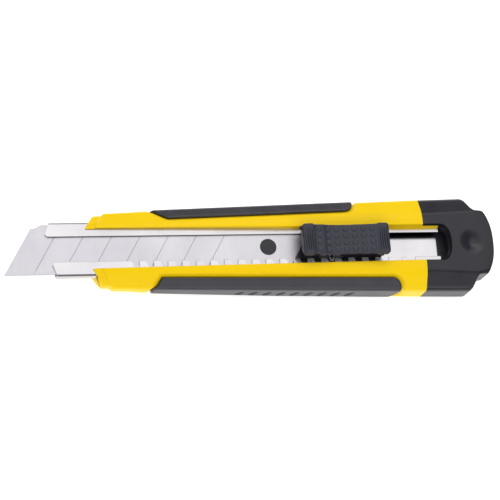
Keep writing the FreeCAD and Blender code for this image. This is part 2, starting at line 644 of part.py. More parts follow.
def make_cap():
    """Cap that closes the sleeve, with a window, a spigot, a dimple and a snapping slot."""
    body = new_body("cap_block")
    rear = "body_rear + cap_length"
    side = new_sketch(body, "XZ_Plane", "cap_side", "-reach")
    outline(side, [
        ("body_rear + cap_gap", "0"), (f"{rear} + 1", "0"),
        (f"{rear} + 1", "rear_depth - cap_front_drop"), ("body_rear + cap_gap", "rear_depth"),
    ])
    pad(body, side, "cap_slab", "2 * reach")
    keep_inside(body, "cap_sides", [
        ("body_rear", "-rear_half_width"), (f"{rear} + 1", "-shoulder_half_width"),
        (f"{rear} + 1", "shoulder_half_width"), ("body_rear", "rear_half_width"),
    ])
    flanks(body, "cap", "0")
    sides = []
    for sign in (1, -1):
        half = [
            ("body_rear - 1", f"{sign} * (shoulder_half_width + 1)"),
            ("body_rear + shoulder_place", f"{sign} * (shoulder_half_width + 1)"),
            ("body_rear + shoulder_place", f"{sign} * (shoulder_half_width - shoulder_draft)"),
            ("body_rear + shoulder_place + shoulder_fall_length",
             f"{sign} * (shoulder_half_width - shoulder_fall)"),
            ("body_rear + tongue_root - tongue_root_length",
             f"{sign} * (tongue_half_width + tongue_root_flare)"),
            ("body_rear + tongue_root", f"{sign} * (tongue_half_width + tongue_root_step)"),
        ]
        # The tail's curve: how far before its rearmost point, at which share of its width.
        for before, share in ((1, 1), (0.5, 0.84), (0.125, 0.46)):
            half.append((f"{rear} - tongue_bulge * {before}", f"{sign} * tongue_half_width * {share}"))
        sides.append(half if sign == 1 else half[::-1])
    keep_inside(body, "cap_plan", sides[0] + sides[1])
    slopes = new_sketch(body, "XZ_Plane", "cap_end_slopes", "reach")
    outline(slopes, [
        ("body_rear + shoulder_place", "-1"), (f"{rear} + 2", "-1"), (f"{rear} + 2", "cap_end_rise"),
        ("body_rear + shoulder_place", "0"),
    ])
    outline(slopes, [
        ("body_rear + tongue_root", "rear_depth + 1"), (f"{rear} + 2", "rear_depth + 1"),
        (f"{rear} + 2", "rear_depth - cap_end_drop"),
        ("body_rear + tongue_root", "rear_depth - cap_front_drop"),
    ])
    pocket(body, slopes, "cap_end", "2 * reach")
    solid = join("cap_solid", [body, block(
        "spigot", ("body_rear - spigot_length", "-core_half_width + spigot_gap", "wall + spigot_gap"),
        ("body_rear + 2", "core_half_width - spigot_gap", "core_top - spigot_gap"))])
    window = new_body("window_space")
    plan = new_sketch(window, "XY_Plane", "window_plan", "channel_bed + sheet")
    # The window's rounded end: how far before its rearmost point, at which share of its width.
    bend = [(0.5, 1), (0.125, 0.66), (0, 0.3)]
    plan_points = [("body_rear - 1", "-slot_lower")]
    for before, share in bend:
        plan_points.append((f"body_rear + window_length - window_round * {before}", f"-slot_lower * {share}"))
    for before, share in bend[::-1]:
        plan_points.append((f"body_rear + window_length - window_round * {before}", f"slot_upper * {share}"))
    outline(plan, plan_points + [("body_rear - 1", "slot_upper")])
    pad(window, plan, "window_pad", "reach")
    socket = block("channel_socket", ("body_rear - 1", "-channel_side", "channel_bed"),
                   ("channel_rear + channel_clearance", "channel_side", "channel_roof"))
    hollow = block("spigot_hollow",
                   ("body_rear - spigot_length - 1", "-core_half_width + spigot_gap + spigot_wall",
                    "wall + spigot_gap + spigot_wall / 2"),
                   ("body_rear + shoulder_place - spigot_wall",
                    "core_half_width - spigot_gap - spigot_wall", "core_top - spigot_gap - spigot_wall / 2"))
    slot = block("snap_slot", (f"{rear} - snap_slot_depth", "-snap_slot_half_width", "snap_slot_place"),
                 (f"{rear} + 1", "snap_slot_half_width", "snap_slot_place + snap_slot_gap"))
    dimple = document.addObject("Part::Sphere", "dimple")
    half = "(dimple_diameter / 2)"
    radius = f"(({half} * {half} + dimple_depth * dimple_depth) / (2 * dimple_depth))"
    dimple.setExpression("Radius", formula(radius))
    dimple.setExpression("Placement.Base.x", formula("body_rear + dimple_place"))
    dimple.setExpression("Placement.Base.z",
                         formula(f"rear_depth - cap_front_drop - dimple_depth + {radius}"))
    return cut("end_cap", solid, join("cap_hollows", [window, socket, hollow, slot, dimple]))


# ---- build, test and write -----------------------------------------------------------

fill_sheet()
sleeve_outside = cut_nose(sleeve_form("sleeve_outside", "0"))
sleeve_inside = sleeve_form("sleeve_inside", "grip_depth")
grips = make_grips(sleeve_outside, sleeve_inside)
nodes = [
    make_handle(sleeve_outside, grips), grips[0], grips[1], make_channel(), make_cap(),
    make_carrier(), make_spring(), make_button(), make_blade(),
]
document.recompute()

for item in document.Objects:
    if "Invalid" in item.State or "Error" in item.State:
        raise RuntimeError(f"{item.Label} failed: {item.State}")

os.makedirs("parts", exist_ok=True)
for node in nodes:
    if node.Shape.isNull() or not node.Shape.isValid() or not node.Shape.Solids:
        raise RuntimeError(f"{node.Label} has no valid solid")
    node.Shape.exportStep(f"parts/{node.Label}.step")
    box = node.Shape.BoundBox
    print(f"{node.Label:16s} solids {len(node.Shape.Solids)}  volume {node.Shape.Volume:9.1f}  "
          f"x {box.XMin:8.2f} {box.XMax:8.2f}  y {box.YMin:7.2f} {box.YMax:7.2f}  "
          f"z {box.ZMin:6.2f} {box.ZMax:6.2f}")
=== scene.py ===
import math

import bmesh
import bpy
import numpy as np
from mathutils import Matrix, Vector
from mathutils.kdtree import KDTree


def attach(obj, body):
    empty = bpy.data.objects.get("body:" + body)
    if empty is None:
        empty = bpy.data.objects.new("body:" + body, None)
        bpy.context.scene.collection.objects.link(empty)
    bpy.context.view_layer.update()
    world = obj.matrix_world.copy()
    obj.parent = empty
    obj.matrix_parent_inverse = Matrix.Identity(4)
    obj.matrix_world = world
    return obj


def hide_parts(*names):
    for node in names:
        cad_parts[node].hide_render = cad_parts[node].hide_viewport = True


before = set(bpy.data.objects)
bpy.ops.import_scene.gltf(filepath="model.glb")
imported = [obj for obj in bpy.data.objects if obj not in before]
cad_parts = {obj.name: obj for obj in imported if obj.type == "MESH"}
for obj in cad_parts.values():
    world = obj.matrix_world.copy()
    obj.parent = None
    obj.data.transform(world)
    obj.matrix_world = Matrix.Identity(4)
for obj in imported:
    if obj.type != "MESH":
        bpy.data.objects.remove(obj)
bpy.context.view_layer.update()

MM = 0.001


# ---- shader arithmetic ---------------------------------------------------------------

class Shade:
    """A number from a socket, on which plain arithmetic adds Math nodes."""

    def __init__(self, recipe, socket):
        self.recipe = recipe
        self.socket = socket

    def math(self, operation, *values):
        return self.recipe.number("ShaderNodeMath", {"operation": operation}, list(values))

    def __add__(self, other):
        return self.math("ADD", self, other)

    def __sub__(self, other):
        return self.math("SUBTRACT", self, other)

    def __rsub__(self, other):
        return self.math("SUBTRACT", other, self)

    def __mul__(self, other):
        return self.math("MULTIPLY", self, other)

    def __truediv__(self, other):
        return self.math("DIVIDE", self, other)

    __radd__ = __add__
    __rmul__ = __mul__


class Recipe:
    """One material: its node tree, its shader, and short ways to add nodes."""

    def __init__(self, name):
        self.material = bpy.data.materials.new(name)
        self.material.use_nodes = True
        self.tree = self.material.node_tree
        self.shader = self.tree.nodes["Principled BSDF"]
        self.place = self.node("ShaderNodeTexCoord").outputs["Object"]

    def node(self, kind, settings=None, sockets=None):
        """Add a node: its settings first, then the values or links of its sockets."""
        node = self.tree.nodes.new(kind)
        for name, value in (settings or {}).items():
            setattr(node, name, value)
        pairs = enumerate(sockets) if isinstance(sockets, list) else (sockets or {}).items()
        for key, value in pairs:
            self.feed(node.inputs[key], value)
        return node

    def feed(self, socket, value):
        if isinstance(value, Shade):
            value = value.socket
        if isinstance(value, bpy.types.NodeSocket):
            self.tree.links.new(value, socket)
        else:
            socket.default_value = value

    def number(self, kind, settings=None, sockets=None, output=0):
        return Shade(self, self.node(kind, settings, sockets).outputs[output])

    def stretched(self, scale):
        """The piece's own place, in metres, stretched for a pattern."""
        return self.node("ShaderNodeMapping", None,
                         {"Vector": self.place, "Scale": scale}).outputs["Vector"]

    def part(self, axis):
        """One of the three numbers of the piece's own place, in metres."""
        return self.number("ShaderNodeSeparateXYZ", None, [self.place], output="XYZ".index(axis))

    def noise(self, scale, detail=3.0, roughness=0.5, stretch=(1, 1, 1)):
        node = self.node("ShaderNodeTexNoise", None,
                         {"Vector": self.stretched(stretch), "Scale": scale, "Detail": detail,
                          "Roughness": roughness})
        return Shade(self, node.outputs["Fac"])

    def ramp(self, value, low, high, start=0.0, end=1.0):
        """Take a value's range from low..high to start..end, and keep it there."""
        return self.number("ShaderNodeMapRange", None, {
            "Value": value, "From Min": low, "From Max": high, "To Min": start, "To Max": end})

    def blend(self, amount, first, second):
        """Mix two colours."""
        node = self.node("ShaderNodeMix", {"data_type": "RGBA"})
        self.feed(node.inputs[0], amount)
        self.feed(node.inputs[6], first)
        self.feed(node.inputs[7], second)
        return node.outputs[2]

    def bump(self, height, strength, distance):
        return self.node("ShaderNodeBump", None, {
            "Strength": strength, "Distance": distance, "Height": height}).outputs["Normal"]

    def finish(self, **sockets):
        for name, value in sockets.items():
            self.feed(self.shader.inputs[name.replace("_", " ")], value)
        return self.material


# ---- finishes ------------------------------------------------------------------------

def yellow_moulding():
    """Bright moulded plastic with a faint flow mottle and a very fine skin."""
    recipe = Recipe("yellow_moulding")
    flow = recipe.noise(90.0, 4.0, 0.6, (0.4, 1, 1))
    skin = recipe.noise(2600.0, 2.0)
    deep, bright = (0.96, 0.63, 0.001, 1), (0.99, 0.67, 0.001, 1)
    colour = recipe.blend(recipe.ramp(flow, 0.3, 0.7), deep, bright)
    return recipe.finish(
        Base_Color=colour, Roughness=recipe.ramp(flow, 0.25, 0.75, 0.30, 0.38),
        IOR=1.5, Specular_IOR_Level=0.13, Normal=recipe.bump(skin, 0.12, 0.00003),
        Subsurface_Weight=0.06, Subsurface_Radius=(0.003, 0.0018, 0.0004), Subsurface_Scale=0.4)


def soft_rubber():
    """Matt dark grip with a fine grain and rubbed high spots."""
    recipe = Recipe("soft_rubber")
    grain = recipe.noise(2200.0, 3.0, 0.6)
    wear = recipe.noise(120.0, 5.0, 0.62)
    deep, rubbed = (0.022, 0.021, 0.029, 1), (0.033, 0.032, 0.042, 1)
    colour = recipe.blend(recipe.ramp(wear, 0.35, 0.72), deep, rubbed)
    return recipe.finish(
        Base_Color=colour, Roughness=recipe.ramp(wear, 0.3, 0.7, 0.32, 0.42), IOR=1.5,
        Normal=recipe.bump(grain, 0.25, 0.00004))


def black_moulding(name="black_moulding", light=1.0):
    """Dark satin plastic for the cap, the button and the carrier."""
    recipe = Recipe(name)
    grain = recipe.noise(3000.0, 2.0)
    flow = recipe.noise(150.0, 4.0, 0.6)
    dark = tuple(light * part for part in (0.007, 0.007, 0.013)) + (1,)
    pale = tuple(light * part for part in (0.012, 0.012, 0.021)) + (1,)
    return recipe.finish(
        Base_Color=recipe.blend(recipe.ramp(flow, 0.3, 0.75), dark, pale),
        Roughness=recipe.ramp(flow, 0.25, 0.75, 0.26, 0.36), IOR=1.5, Specular_IOR_Level=0.40,
        Normal=recipe.bump(grain, 0.18, 0.00003))


# Where the channel's painted shade and painted side reflection lie, in metres: each pair is where
# a change starts and ends.
SIDE_TURN = (0.0089, 0.0092)
LIP_TURN = (0.0107, 0.0110)
FLOOR_TURN = (0.0080, 0.0076)
UPPER_RIM = ((0.00468, 0.00456), (0.0044, 0.0045))
LOWER_RIM = ((-0.00472, -0.00460), (-0.0044, -0.0045))
FLOOR_SHADE = ((0.0027, 0.0036), (0.0083, 0.0082))


def rolled_steel():
    """Satin stainless sheet with fine rolling lines, with painted shade in its folds, along its
    lips' cut edges and on its floor under the upper lip, and a painted bluish reflection on its
    sides.
    """
    recipe = Recipe("rolled_steel")
    lines = recipe.noise(260.0, 6.0, 0.7, (0.06, 6, 6))
    cloud = recipe.noise(70.0, 4.0, 0.55)
    deep, bright = (0.53, 0.51, 0.53, 1), (0.61, 0.595, 0.61, 1)
    side_reflection, shaded, edge_shade = (0.30, 0.29, 0.36, 1), (0.02, 0.02, 0.025, 1), (0.022, 0.014, 0.02, 1)
    colour = recipe.blend(recipe.ramp(cloud, 0.3, 0.7), deep, bright)
    across, up = recipe.part("Y"), recipe.part("Z")
    side = recipe.ramp(across.math("ABSOLUTE", across), *SIDE_TURN)
    above, below = recipe.ramp(up, *LIP_TURN), recipe.ramp(up, *FLOOR_TURN)
    # painted shade along the cut edges of the upper and lower lips
    upper_rim, lower_rim = (
        recipe.ramp(across, *inner) * recipe.ramp(across, *outer) * above
        for inner, outer in (UPPER_RIM, LOWER_RIM))
    # painted reflection: the side walls are tinted darker and bluish
    colour = recipe.blend(side * 0.2, colour, side_reflection)
    # painted shadow of the upper lip on the channel's floor
    shade = recipe.ramp(across, *FLOOR_SHADE[0]) * recipe.ramp(up, *FLOOR_SHADE[1])
    colour = recipe.blend(shade, colour, shaded)
    # painted shade in the channel's bends
    fold_shade = side * (above + below)
    dim_tone_and_shade = upper_rim + lower_rim * 0.35 + fold_shade * 0.8
    colour = recipe.blend(dim_tone_and_shade.math("MINIMUM", dim_tone_and_shade, 1.0), colour, edge_shade)
    return recipe.finish(
        Base_Color=colour, Metallic=1.0, Roughness=recipe.ramp(lines, 0.25, 0.75, 0.2, 0.34),
        Normal=recipe.bump(lines, 0.12, 0.00004))


# The blade's places for its painted shade and paler bevel, in metres; the scores are counted from
# the tip.
BLADE_TIP, BLADE_EDGE = -0.125, -0.00895
SCORES_PER_METRE, SCORE_LEAN = 100.0, 0.57735
SCORE_LINE, FIRST_SCORE, LAST_SCORE = (0.020, 0.010), (0.5, 0.6), (7.4, 7.3)
GROUND_BAND = (-0.00720, -0.00745)
EDGE_LINE = (-0.00878, -0.00890)


def ground_steel():
    """Blade steel: pale, with grinding lines across it, painted shade in its scores and along its
    edge, and a ground bevel made paler partly by painted light.
    """
    recipe = Recipe("ground_steel")
    lines = recipe.noise(420.0, 6.0, 0.7, (5, 0.25, 1))
    cloud = recipe.noise(55.0, 5.0, 0.6)
    deep, bright = (0.49, 0.475, 0.51, 1), (0.56, 0.545, 0.58, 1)
    score_shade, ground_and_lit, edge = (0.12, 0.11, 0.12, 1), (0.66, 0.645, 0.68, 1), (0.10, 0.08, 0.09, 1)
    colour = recipe.blend(recipe.ramp(cloud, 0.3, 0.7), deep, bright)
    along, across = recipe.part("X"), recipe.part("Y")
    leaning = (along - BLADE_TIP - (across - BLADE_EDGE) * SCORE_LEAN) * SCORES_PER_METRE
    beside = leaning - leaning.math("ROUND", leaning)
    score_shade_mask = recipe.ramp(beside.math("ABSOLUTE", beside), *SCORE_LINE)
    first_to_last = recipe.ramp(leaning, *FIRST_SCORE) * recipe.ramp(leaning, *LAST_SCORE)
    # painted shade in the score grooves
    colour = recipe.blend(score_shade_mask * first_to_last * 0.5, colour, score_shade)
    # the ground bevel is made paler, partly for its ground finish and partly as painted light
    # offsetting its tilt
    colour = recipe.blend(recipe.ramp(across, *GROUND_BAND) * 0.5, colour, ground_and_lit)
    # painted shade: a dark line along the cutting edge
    colour = recipe.blend(recipe.ramp(across, *EDGE_LINE) * 0.8, colour, edge)
    return recipe.finish(
        Base_Color=colour, Metallic=1.0, Roughness=recipe.ramp(lines, 0.25, 0.75, 0.34, 0.48),
        Normal=recipe.bump(lines, 0.08, 0.00003))


def spring_strip():
    """Bright spring strip with faint lines."""
    recipe = Recipe("spring_strip")
    lines = recipe.noise(500.0, 4.0, 0.6, (0.2, 3, 3))
    return recipe.finish(
        Base_Color=(0.7, 0.7, 0.72, 1), Metallic=1.0,
        Roughness=recipe.ramp(lines, 0.25, 0.75, 0.22, 0.34),
        Normal=recipe.bump(lines, 0.08, 0.00003))


def plain_floor():
    """White paint that glows a little, so the floor and the background are one even white."""
    recipe = Recipe("floor_paint")
    cloud = recipe.noise(8.0, 2.0)
    dim_tone_and_shade, clear = (0.93, 0.93, 0.93, 1), (0.95, 0.95, 0.95, 1)
    return recipe.finish(
        Base_Color=recipe.blend(recipe.ramp(cloud, 0.3, 0.7), dim_tone_and_shade, clear), Roughness=0.85,
        Specular_IOR_Level=0.2, Emission_Color=(1, 1, 1, 1), Emission_Strength=0.62)


def clad(piece, material):
    """Give a piece one finish."""
    piece.data.materials.clear()
    piece.data.materials.append(material)


# ---- studio --------------------------------------------------------------------------

def make_floor():
    mesh = bpy.data.meshes.new("floor")
    half, level = 3.0, -0.0001
    corners = [(x * half, y * half, level) for x, y in ((-1, -1), (1, -1), (1, 1), (-1, 1))]
    mesh.from_pydata(corners, [], [(0, 1, 2, 3)])
    floor = bpy.data.objects.new("floor", mesh)
    bpy.context.collection.objects.link(floor)
    clad(floor, plain_floor())


def make_camera():
    """A long lens above the knife, a little towards its tip and its cutting edge."""
    swing, tip, roll = math.radians(13.06), math.radians(16.26), math.radians(4.53)
    distance = 0.650
    aim = Vector((-38.4, -1.06, 10.9)) * MM
    turn = Matrix.Rotation(roll, 3, "Z") @ Matrix.Rotation(-tip, 3, "X")
    turn = turn @ Matrix.Rotation(swing, 3, "Y")
    data = bpy.data.cameras.new("camera")
    data.lens = 132.8
    data.sensor_width = 36.0
    data.clip_start = 0.01
    camera = bpy.data.objects.new("camera", data)
    back = turn.transposed()
    camera.matrix_world = Matrix.Translation(aim + back @ Vector((0, 0, distance))) @ back.to_4x4()
    bpy.context.collection.objects.link(camera)
    bpy.context.scene.camera = camera


def soft_light(name, place, size, power, aim=(-0.04, 0, 0)):
    data = bpy.data.lights.new(name, "AREA")
    data.shape = "RECTANGLE"
    data.size, data.size_y = size
    data.energy = power
    lamp = bpy.data.objects.new(name, data)
    lamp.location = place
    lamp.rotation_euler = (Vector(aim) - Vector(place)).to_track_quat("-Z", "Y").to_euler()
    bpy.context.collection.objects.link(lamp)


def make_lights():
    soft_light("overhead_light", (0.1, 0.3, 1.1), (1.3, 1.3), 6.0)
    soft_light("edge_side_light", (-0.1, -0.85, 0.6), (1.4, 0.4), 4.0)
    soft_light("spine_side_light", (-0.1, 0.75, 0.7), (1.4, 0.5), 3.2)
    world = bpy.data.worlds.new("studio")
    world.use_nodes = True
    background = world.node_tree.nodes["Background"]
    background.inputs["Color"].default_value = (1, 1, 1, 1)
    background.inputs["Strength"].default_value = 0.35
    bpy.context.scene.world = world
    bpy.context.scene.view_settings.view_transform = "Standard"


# ---- shapes --------------------------------------------------------------------------

def smooth(value):
    """An even ease from 0 to 1."""
    value = np.clip(value, 0.0, 1.0)
    return value * value * (3.0 - 2.0 * value)


def round_over(distance, radius):
    """How far a rounded edge falls below its corner, at a distance in from the edge."""
    left = np.clip(radius - distance, 0.0, radius)
    return radius - np.sqrt(radius * radius - left * left)


def travel(start, legs, along):
    """Follow straight and curved legs clockwise from a start point, heading along +Y.

    Each leg has a length and a radius, and a straight leg's radius is 0. Gives the points
    and the outward directions."""
    across, up = (np.array(value, float) + 0.0 * along for value in start)
    heading = np.zeros_like(across)
    left = along.copy()
    for length, radius in legs:
        went = np.clip(left, 0.0, length)
        if np.any(np.asarray(radius) > 0):
            turned = heading + went / radius
            across += radius * (np.sin(turned) - np.sin(heading))
            up -= radius * (np.cos(heading) - np.cos(turned))
            heading = turned
        else:
            across += went * np.cos(heading)
            up -= went * np.sin(heading)
        left = left - length
    return across, up, np.sin(heading), np.cos(heading)


class Sleeve:
    """The handle's outside, as a place round its outline at each place along X, in mm."""

    front_end, rear_end = -96.5, 25.0
    length = rear_end - front_end
    narrowest, widening = 13.65, 3.5
    shallowest, deepening = 13.1, 1.7
    back_lift, back_lift_start = 2.8, -30.0
    flank_width, flank_drop = 6.6, 3.7
    lean = math.atan2(flank_drop, flank_width)
    shoulder_round, back_round = 9.0, 3.2
    most_cut = 0.42

    def __init__(self, side_round):
        self.side_round = side_round

    def half_width(self, x):
        return self.narrowest + self.widening * (x - self.front_end) / self.length

    def front(self, x):
        """The level of the slider's side."""
        return self.shallowest + self.deepening * (x - self.front_end) / self.length

    def back(self, x):
        """The level of the back, which lifts towards the nose."""
        start = self.back_lift_start
        return self.back_lift * np.clip((start - x) / (start - self.front_end), 0.0, 2.0)

    def flank(self, x):
        """How wide the sloping flank is."""
        return self.flank_width + 0.0 * x

    def legs(self, x):
        """The half outline, from the middle of the slider's side to the middle of the back."""
        half, front, back, wide = self.half_width(x), self.front(x), self.back(x), self.flank(x)
        slant = wide / math.cos(self.lean)
        turn = math.pi / 2 - self.lean
        inner = np.minimum(self.shoulder_round, self.most_cut * slant / math.tan(self.lean / 2))
        outer = np.minimum(self.side_round, self.most_cut * slant / math.tan(turn / 2))
        inner_cut, outer_cut = inner * math.tan(self.lean / 2), outer * math.tan(turn / 2)
        drop, foot = wide * math.tan(self.lean), self.back_round
        return [
            (half - wide - inner_cut, 0.0), (inner * self.lean, inner),
            (slant - inner_cut - outer_cut, 0.0), (outer * turn, outer),
            (front - drop - back - outer_cut - foot, 0.0), (foot * math.pi / 2, foot),
            (half - foot, 0.0),
        ]

    def round_length(self, x):
        return sum(length for length, radius in self.legs(x))

    def place(self, x, along):
        return travel((0.0, self.front(x)), self.legs(x), along)

    def reach(self, x, across):
        """The distance round the outline at which it first gets so far from the middle."""
        low, high = np.zeros_like(x), np.full_like(x, 20.0)
        for _ in range(40):
            middle = (low + high) / 2
            short = self.place(x, middle)[0] < across
            low, high = np.where(short, middle, low), np.where(short, high, middle)
        return (low + high) / 2


class Grip:
    """The outline of one soft grip on the sleeve's side, unrolled: X against the way round."""

    inner_edge, edge_widening = 10.8, 2.0
    heel_length, heel_reach = 2.0, 2.5
    rear_length, rear_reach, rear_bow = 3.4, 4.0, 0.028

    def __init__(self, front, rear, slant, sleeve):
        self.front, self.rear, self.slant, self.sleeve = front, rear, slant, sleeve
        self.table = np.linspace(-100.0, 30.0, 400)
        self.starts = sleeve.reach(self.table, self.edge(self.table))

    def edge(self, x):
        """How far from the middle the grip's inner edge lies."""
        share = np.clip((x - self.front) / (self.rear - self.front), -0.2, 1.2)
        return self.inner_edge + self.edge_widening * share

    def start(self, x):
        return np.interp(x, self.table, self.starts)

    def width(self, x):
        return self.sleeve.round_length(x) - self.edge(x) - self.start(x)

    def front_shift(self, way, width):
        """How far behind its foremost point the grip starts."""
        length, reach = self.slant
        slanting = length * np.clip(1.0 - way / reach, 0.0, 1.0) ** 1.6
        heel = np.clip(1.0 - (width - way) / self.heel_reach, 0.0, 1.0) ** 1.5
        return slanting + self.heel_length * heel

    def rear_shift(self, way, width):
        """How far before its rearmost point the grip ends."""
        near = np.clip(1.0 - way / self.rear_reach, 0.0, 1.0)
        ahead = self.rear_length * (1.0 - np.sqrt(1.0 - near * near))
        return ahead + self.rear_bow * np.clip(way - self.rear_reach, 0.0, None) ** 2

    def outline(self):
        """Points all round the grip's edge."""
        share = smooth(np.linspace(0.0, 1.0, 400))
        ends = []
        for end, shift, sign in ((self.front, self.front_shift, 1),
                                 (self.rear, self.rear_shift, -1)):
            width = self.width(np.full_like(share, end))
            way = share * width
            ends.append((end + sign * shift(way, width), way))
        sides = []
        for pick in (0, -1):
            x = np.linspace(ends[0][0][pick], ends[1][0][pick], 900)
            sides.append((x, self.width(x) * (0 if pick == 0 else 1)))
        return [np.concatenate([part[axis] for part in ends + sides]) for axis in (0, 1)]

    def distance(self, x, way):
        """How far inside the grip's edge a place is, or how far outside if negative."""
        line = np.stack(self.outline(), axis=1)
        tree = KDTree(len(line))
        for index, (line_x, line_way) in enumerate(line):
            tree.insert((line_x, line_way, 0.0), index)
        tree.balance()
        flat_x, flat_way = np.ravel(x), np.ravel(way)
        nearest = np.array([tree.find((a, b, 0.0))[2] for a, b in zip(flat_x, flat_way)])
        width = self.width(flat_x)
        inside = (flat_way > 0) & (flat_way < width)
        inside &= flat_x > self.front + self.front_shift(flat_way, width)
        inside &= flat_x < self.rear - self.rear_shift(flat_way, width)
        return np.where(inside, nearest, -nearest).reshape(np.shape(x))


def spread(start, end, busy, fine, coarse):
    """Places from start to end, closer together round the busy ones, which are among them."""
    places = [start]
    while places[-1] < end:
        gap = min(abs(places[-1] - spot) for spot in busy)
        places.append(places[-1] + fine + (coarse - fine) * float(smooth((gap - 2.0) / 6.0)))
    kept = [place for place in places[:-1] if min(abs(place - spot) for spot in busy) > fine * 0.6]
    inner = [spot for spot in busy if start <= spot < end]
    return np.array(sorted(set(kept + inner + [start, end])))


def edged(length, step):
    """Shares of a length, a step apart, with some closer ones at both ends."""
    rim, margin = np.array([0.0, 0.05, 0.14, 0.27, 0.43, 0.62]), 0.9
    middle = np.linspace(margin, length - margin, int((length - 2 * margin) / step))
    return np.concatenate([rim, middle, (length - rim)[::-1]]) / length


def piece(name, points, faces, angle=38.0, ends=()):
    """A piece from points in mm, with open ends filled and edges kept sharp above an angle."""
    mesh = bpy.data.meshes.new(name)
    shape = bmesh.new()
    corners = [shape.verts.new(Vector(point) * MM) for point in points]
    for face in faces:
        shape.faces.new([corners[index] for index in face])
    for start, count in ends:
        edges = [shape.edges.get((corners[start + index], corners[start + (index + 1) % count]))
                 for index in range(count)]
        bmesh.ops.triangle_fill(shape, edges=edges, use_beauty=True, use_dissolve=False)
    bmesh.ops.recalc_face_normals(shape, faces=shape.faces[:])
    shape.to_mesh(mesh)
    shape.free()
    return link(name, mesh, angle)


def link(name, mesh, angle=38.0):
    """Put a mesh in the scene as a piece."""
    mesh.shade_smooth()
    mesh.set_sharp_from_angle(angle=math.radians(angle))
    made = bpy.data.objects.new(name, mesh)
    bpy.context.collection.objects.link(made)
    return made


def tube_faces(rings, count, first=0):
    """Quads between rings of count points each, closed round each ring."""
    return [(first + ring * count + index, first + ring * count + (index + 1) % count,
             first + (ring + 1) * count + (index + 1) % count, first + (ring + 1) * count + index)
            for ring in range(rings - 1) for index in range(count)]


# ---- the handle ----------------------------------------------------------------------

SLOT_UPPER = ((-96.5, -60.0, -25.0, 25.0), (7.25, 6.9, 6.45, 6.5))
SLOT_LOWER = ((-96.5, -95.9, -94.5, 25.0), (7.75, 7.5, 7.35, 6.6))
SLOT_ROUND = 0.35
SLOT_TURNS = (20, 45, 70, 90)
CHANNEL_BED = 7.25
CHANNEL_HALF = 9.66
LIP_TOP = 11.45
CORE_HALF, CORE_END = 12.6, -48.0
CORE_BOTTOM, CORE_TOP = 1.9, 5.9
GRIP_BED = 1.15
BEVEL = 1.7
BEVEL_DEPTH = 0.95
NOSE_STEP = 0.85
NOSE_STEP_PLACE, NOSE_STEP_FADE = 2.7, 0.9
NOSE_ROUND = 0.5
NOSE_FLAT, NOSE_FADE = 8.0, 13.0
WALL_SPREAD, WALL_UNDERCUT = 0.2, 1.1


def nose_shift(across):
    """How far behind the nose's foremost point its end lies, across the knife."""
    slot = 7.4
    lean = 2.0 * np.clip((slot - across) / (2 * slot), 0.0, 1.0)
    return lean + 0.6 * np.clip(np.abs(across) - slot, 0.0, 6.0)


def nose_share(behind):
    """How much of the nose's shift is left at a distance behind its front end."""
    return 1 - smooth((behind - NOSE_FLAT) / NOSE_FADE)


def sleeve_side(sleeve, grip, stations, sign, slot):
    """The outside of one half of the sleeve, from the slot's edge to the back's middle."""
    shares = []
    for start, end, count in ((0, 1, 12), (1, 2, 6), (2, 3, 58), (3, 4, 5), (4, 5, 9)):
        shares += list(np.linspace(start, end, count, endpoint=False))
    shares = np.array(shares + [5.0])
    x = stations[:, None] + 0.0 * shares

    def knots(place):
        start, width, full = grip.start(place), grip.width(place), sleeve.round_length(place)
        return [np.interp(place, *slot) + SLOT_ROUND, start - BEVEL, start, start + width,
                start + width + BEVEL, full]

    def along(place):
        marks = knots(place)
        step = np.minimum(shares.astype(int), 4)
        part = shares - step
        low = np.choose(step, marks[:5])
        high = np.choose(step, marks[1:])
        return low + (high - low) * part

    round_way = along(x)
    way = round_way - grip.start(x)
    width = grip.width(x)
    fade = smooth(shares) * smooth(5.0 - shares)
    bump_front = np.clip(1 - ((x - grip.front) / 11.0) ** 2, 0, None) ** 2
    bump_rear = np.clip(1 - ((x - grip.rear) / 8.5) ** 2, 0, None) ** 2
    inner = np.clip(way, 0, width)
    x = x + fade * (grip.front_shift(inner, width) * bump_front
                    - grip.rear_shift(inner, width) * bump_rear)
    round_way = along(x)
    across, up, out_across, out_up = sleeve.place(x, round_way)
    inside = grip.distance(x, round_way - grip.start(x))
    depth = np.where(inside > 1e-3, GRIP_BED, BEVEL_DEPTH * np.clip(1 + inside / BEVEL, 0, 1))
    behind = stations[:, None] - sleeve.front_end + 0 * x
    step = NOSE_STEP * (0.5 + 0.5 * np.abs(out_across))
    before_step = 1 - smooth((behind - NOSE_STEP_PLACE) / NOSE_STEP_FADE)
    depth += step * before_step + round_over(behind, NOSE_ROUND)
    across, up = across - depth * out_across, up - depth * out_up
    x = x + nose_shift(sign * across) * nose_share(behind)
    return np.stack([x, sign * across, up], axis=-1)


def slot_edge(edge, side):
    """The rounded edge of the slot, falling from the sleeve's outside to the slot's wall."""
    path = []
    for turn in SLOT_TURNS:
        fall = SLOT_ROUND * (1 - math.cos(math.radians(turn)))
        path.append((edge[1] + side * SLOT_ROUND * math.sin(math.radians(turn)), edge[2] - fall))
    return path


